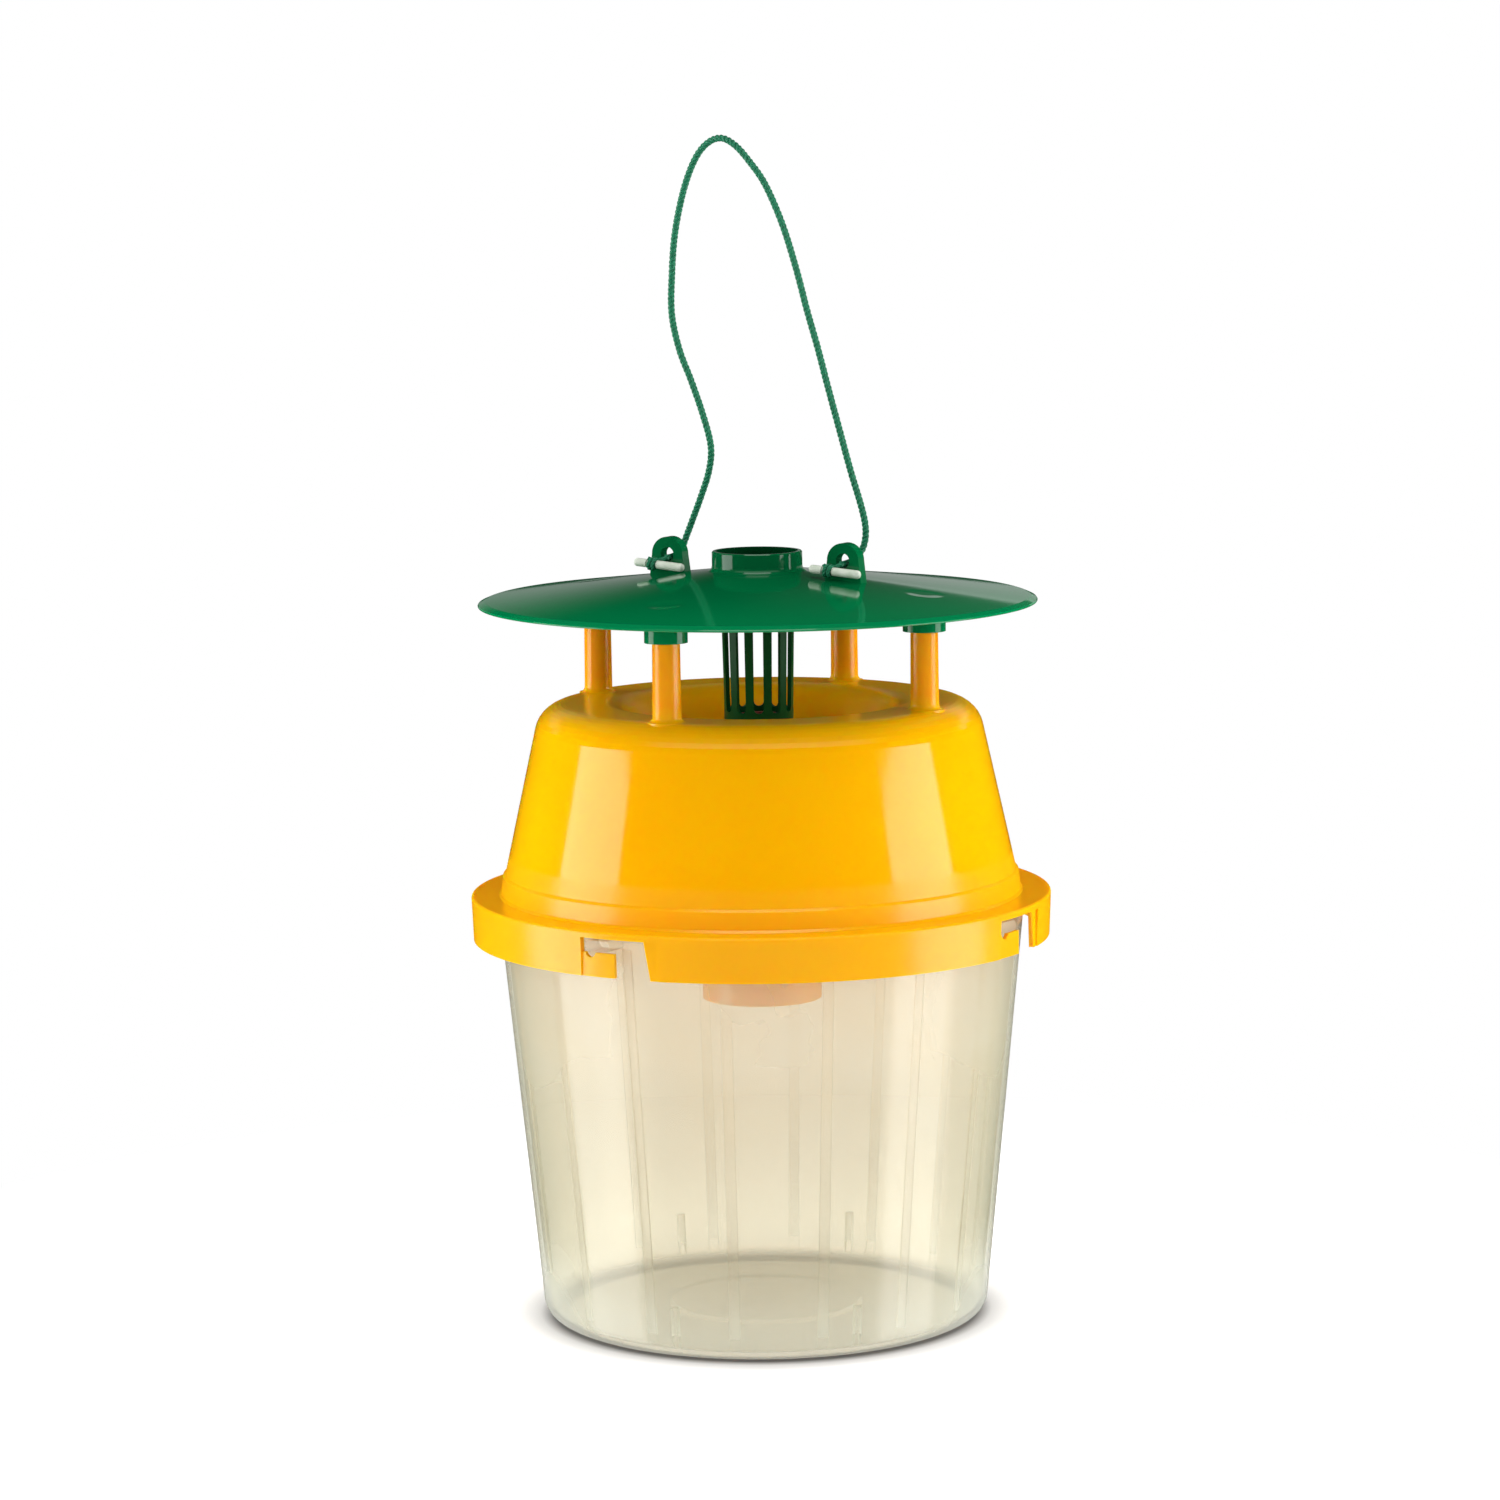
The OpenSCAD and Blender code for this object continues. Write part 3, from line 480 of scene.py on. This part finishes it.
def natural_rubber():
    """Red natural rubber, moulded: matt, with a pale bloom and a fine grain."""
    made, tree = new_material("red_natural_rubber")
    place = add(tree, "ShaderNodeTexCoord").outputs["Object"]
    bloom = add(tree, "ShaderNodeTexNoise", inputs={
        "Vector": place, "Scale": 1 / (2 * MM), "Detail": 5.0})
    grain = add(tree, "ShaderNodeTexNoise", inputs={
        "Vector": place, "Scale": 1 / (0.4 * MM), "Detail": 2.0})
    colour = add(tree, "ShaderNodeValToRGB", inputs={"Fac": bloom}, stops=[
        (0.3, "7A2E22"), (0.75, "96473A")])
    rough = add(tree, "ShaderNodeMapRange", inputs={"Value": bloom, "To Min": 0.6, "To Max": 0.85})
    bump = add(tree, "ShaderNodeBump", inputs={
        "Strength": 0.3, "Distance": 0.05 * MM, "Height": grain})
    shader = add(tree, "ShaderNodeBsdfPrincipled", inputs={
        "Base Color": colour, "Roughness": rough, "Normal": bump, "IOR": RUBBER_IOR})
    add(tree, "ShaderNodeOutputMaterial", inputs={"Surface": shader})
    return made


def dress_the_mouldings():
    """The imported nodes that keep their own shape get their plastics."""
    wear("bucket", natural_polypropylene())
    wear("funnel_body", yellow_polypropylene())
    wear("lid", green_polypropylene())
    wear("pheromone_cage", dark_green_polypropylene())
    wear("lure", natural_rubber())
    nylon = milky_nylon()
    wear("toggle_left", nylon)
    wear("toggle_right", nylon)


# ---------------------------------------------------------------- floor, air and wall
FLOOR_HALF = 3.0
FLOOR_DROP = 0.2 * MM           # below the bucket's base, so that the two never coincide
FLOOR_LIFT = 0.45               # how much the floor near the bucket is brightened to the camera
AMBIENT = 0.36                  # how bright the air is to everything but the camera and reflections
DIM_ROOM = 0.008                # how bright it is in reflections

# The wall behind, as the lid mirrors it.
WALL_Y = 0.1
WALL_HALF = 0.2
WALL_FOOT = 0.207
WALL_EDGE = 0.228               # the upper edge of its bright right half
WALL_TOP = 0.27


def pale_floor():
    """White floor: lit by the lamps, so that it keeps the shadow, with a painted contact shadow ring round
    the bucket's base, and white to the camera elsewhere.
    """
    made, tree = new_material("white_floor")
    path = add(tree, "ShaderNodeLightPath").outputs
    place = add(tree, "ShaderNodeTexCoord").outputs["Object"]
    reach = add(tree, "ShaderNodeVectorMath", {"operation": "LENGTH"}, {0: place})
    tenths = add(tree, "ShaderNodeMath", {"operation": "DIVIDE"}, {0: reach, 1: 100 * MM})
    # painted contact shadow: the floor's colour is darkest in a ring in the narrow gap under the base's
    # round edge
    painted_contact_shadow = add(tree, "ShaderNodeValToRGB", inputs={"Fac": tenths}, stops=[
        (0.55, "F2F2F2"), (0.575, "5A5A5A"), (0.61, "606060"), (0.65, "BEBEBE"), (0.75, "F2F2F2")])
    lit = add(tree, "ShaderNodeBsdfDiffuse", inputs={"Color": painted_contact_shadow})
    seen = add(tree, "ShaderNodeMath", {"operation": "MULTIPLY"}, {
        0: path["Is Camera Ray"], 1: FLOOR_LIFT})
    lift = add(tree, "ShaderNodeEmission", inputs={"Color": painted_contact_shadow, "Strength": seen})
    both = add(tree, "ShaderNodeAddShader", inputs={0: lit, 1: lift})
    white = add(tree, "ShaderNodeEmission", inputs={"Strength": 1.0})
    far_off = add(tree, "ShaderNodeMapRange", inputs={"Value": reach, "From Min": 0.12, "From Max": 0.3})
    seen_far = add(tree, "ShaderNodeMath", {"operation": "MULTIPLY"}, {
        0: far_off, 1: path["Is Camera Ray"]})
    mirrored = add(tree, "ShaderNodeMath", {"operation": "MAXIMUM"}, {
        0: path["Is Glossy Ray"], 1: path["Is Transmission Ray"]})
    whiteness = add(tree, "ShaderNodeMath", {"operation": "MAXIMUM"}, {0: mirrored, 1: seen_far})
    whole = add(tree, "ShaderNodeMixShader", inputs={0: whiteness, 1: both, 2: white})
    add(tree, "ShaderNodeOutputMaterial", inputs={"Surface": whole})
    mesh = bpy.data.meshes.new("floor")
    mesh.from_pydata([(-FLOOR_HALF, -FLOOR_HALF, 0), (FLOOR_HALF, -FLOOR_HALF, 0),
                      (FLOOR_HALF, FLOOR_HALF, 0), (-FLOOR_HALF, FLOOR_HALF, 0)], [], [(0, 1, 2, 3)])
    mesh.transform(Matrix.Translation((0, 0, -FLOOR_DROP)))
    mesh.materials.append(made)
    floor = put_in_scene("floor", mesh)
    floor.visible_glossy = False


def studio_air():
    """The world: white to the camera, soft even light on the trap, and in reflections a dim room,
    pale below and with a soft window high in front."""
    world = bpy.data.worlds.new("studio")
    bpy.context.scene.world = world
    world.use_nodes = True
    tree = world.node_tree
    tree.nodes.clear()
    path = add(tree, "ShaderNodeLightPath").outputs
    sky_way = add(tree, "ShaderNodeTexCoord").outputs["Generated"]
    way = add(tree, "ShaderNodeSeparateXYZ", inputs={"Vector": sky_way}).outputs
    below = add(tree, "ShaderNodeMapRange", inputs={
        "Value": way["Z"], "From Min": -0.25, "From Max": -0.45, "To Min": DIM_ROOM, "To Max": 0.5})
    front = add(tree, "ShaderNodeMapRange", {"interpolation_type": "SMOOTHSTEP"}, {
        "Value": way["Y"], "From Min": -0.2, "From Max": -0.4})
    sill = add(tree, "ShaderNodeMapRange", {"interpolation_type": "SMOOTHSTEP"}, {
        "Value": way["Z"], "From Min": 0.5, "From Max": 0.75})
    head = add(tree, "ShaderNodeMapRange", {"interpolation_type": "SMOOTHSTEP"}, {
        "Value": way["Z"], "From Min": 0.9, "From Max": 0.8})
    band = add(tree, "ShaderNodeMath", {"operation": "MULTIPLY"}, {0: sill, 1: head})
    window = add(tree, "ShaderNodeMath", {"operation": "MULTIPLY"}, {0: band, 1: front})
    mirrored = add(tree, "ShaderNodeMath", {"operation": "MULTIPLY_ADD"}, {0: window, 1: 0.8, 2: below})
    unseen = add(tree, "ShaderNodeMix", {"data_type": "FLOAT"}, {
        "Factor": path["Is Glossy Ray"], "A": AMBIENT, "B": mirrored})
    seen = add(tree, "ShaderNodeMath", {"operation": "MAXIMUM"}, {
        0: path["Is Camera Ray"], 1: path["Is Transmission Ray"]})
    strength = add(tree, "ShaderNodeMix", {"data_type": "FLOAT"}, {
        "Factor": seen, "A": unseen, "B": 1.0})
    sky = add(tree, "ShaderNodeBackground", inputs={"Color": (1, 1, 1, 1), "Strength": strength})
    add(tree, "ShaderNodeOutputWorld", inputs={"Surface": sky})


def back_wall():
    """The pale wall behind, a card that only reflections see: brighter on the right, up to a clear
    upper edge."""
    made, tree = new_material("studio_wall")
    place = add(tree, "ShaderNodeTexCoord").outputs["Object"]
    where = add(tree, "ShaderNodeSeparateXYZ", inputs={"Vector": place}).outputs
    right = add(tree, "ShaderNodeMapRange", inputs={
        "Value": where["X"], "From Min": -0.01, "From Max": 0.01})
    left_tone = add(tree, "ShaderNodeMapRange", {"interpolation_type": "SMOOTHSTEP"}, {
        "Value": where["Z"], "From Min": WALL_FOOT, "From Max": 0.25, "To Min": 0.26, "To Max": 0.0})
    low_tone = add(tree, "ShaderNodeMapRange", inputs={
        "Value": where["Z"], "From Min": WALL_EDGE - 3.5 * MM, "From Max": WALL_EDGE - 1.5 * MM,
        "To Min": 0.38, "To Max": 0.6})
    high_tone = add(tree, "ShaderNodeMapRange", inputs={
        "Value": where["Z"], "From Min": WALL_EDGE, "From Max": WALL_TOP,
        "To Min": 0.05, "To Max": 0.0})
    over = add(tree, "ShaderNodeMath", {"operation": "GREATER_THAN"}, {0: where["Z"], 1: WALL_EDGE})
    right_tone = add(tree, "ShaderNodeMix", {"data_type": "FLOAT"}, {
        "Factor": over, "A": low_tone, "B": high_tone})
    strength = add(tree, "ShaderNodeMix", {"data_type": "FLOAT"}, {
        "Factor": right, "A": left_tone, "B": right_tone})
    glow = add(tree, "ShaderNodeEmission", inputs={"Color": (1, 1, 1, 1), "Strength": strength})
    add(tree, "ShaderNodeOutputMaterial", inputs={"Surface": glow})
    mesh = bpy.data.meshes.new("back_wall")
    mesh.from_pydata([(-WALL_HALF, WALL_Y, WALL_FOOT), (WALL_HALF, WALL_Y, WALL_FOOT),
                      (WALL_HALF, WALL_Y, WALL_TOP), (-WALL_HALF, WALL_Y, WALL_TOP)], [], [(0, 1, 2, 3)])
    mesh.materials.append(made)
    wall = put_in_scene("back_wall", mesh)
    wall.visible_camera = False
    wall.visible_diffuse = False
    wall.visible_transmission = False
    wall.visible_shadow = False


# ---------------------------------------------------------------- lamps
def softbox(name, place, aim, width, height, radiance, mirrored=True):
    """A soft rectangular lamp. Its power follows from how bright its face is. Glossy plastic shows
    it only if it is mirrored."""
    lamp = bpy.data.lights.new(name, "AREA")
    lamp.shape = "RECTANGLE"
    lamp.size = width
    lamp.size_y = height
    lamp.energy = 4 * width * height * radiance
    box = put_in_scene(name, lamp)
    box.location = place
    box.rotation_euler = (Vector(aim) - Vector(place)).to_track_quat("-Z", "Y").to_euler()
    box.visible_camera = False
    box.visible_glossy = mirrored


def light_the_trap():
    """A tall strip on each side, a softbox overhead, two low in front that reach under the lid, and
    two behind. The shine on the dome comes from the strips alone, and their mirrored part ends low
    enough to leave the lid green."""
    trap_middle = (0, 0, 0.13)
    under_the_lid = (0, 0, 0.165)
    strip_far, strip_width, strip_radiance = 0.9, 0.55, 2.6
    low_far, low_radiance = 1.3, 1.82
    for side, strip_azimuth, low_azimuth in (("left", -83, -48), ("right", 77, 48)):
        x = strip_far * sin(radians(strip_azimuth))
        y = -strip_far * cos(radians(strip_azimuth))
        softbox("strip_" + side, (x, y, -0.13), (0, 0, -0.13), strip_width, 0.98, strip_radiance)
        softbox("high_" + side, (x, y, 0.62), (0, 0, 0.62), strip_width, 0.52, strip_radiance,
                mirrored=False)
        x = low_far * sin(radians(low_azimuth))
        y = -low_far * cos(radians(low_azimuth))
        softbox("low_" + side, (x, y, 0.4), under_the_lid, 1.5, 0.3, low_radiance, mirrored=False)
    softbox("overhead", (0, -0.3, 1.25), trap_middle, 0.7, 0.7, 2.0)
    softbox("back_left", (-0.9, 0.6, 0.35), trap_middle, 0.6, 0.6, 4.9, mirrored=False)
    softbox("back_right", (0.9, 0.6, 0.35), trap_middle, 0.6, 0.6, 6.6, mirrored=False)


# ---------------------------------------------------------------- the scene
place_camera()
hang_the_cord()
dress_the_mouldings()
pale_floor()
studio_air()
back_wall()
light_the_trap()

bpy.context.scene.view_settings.view_transform = "Standard"
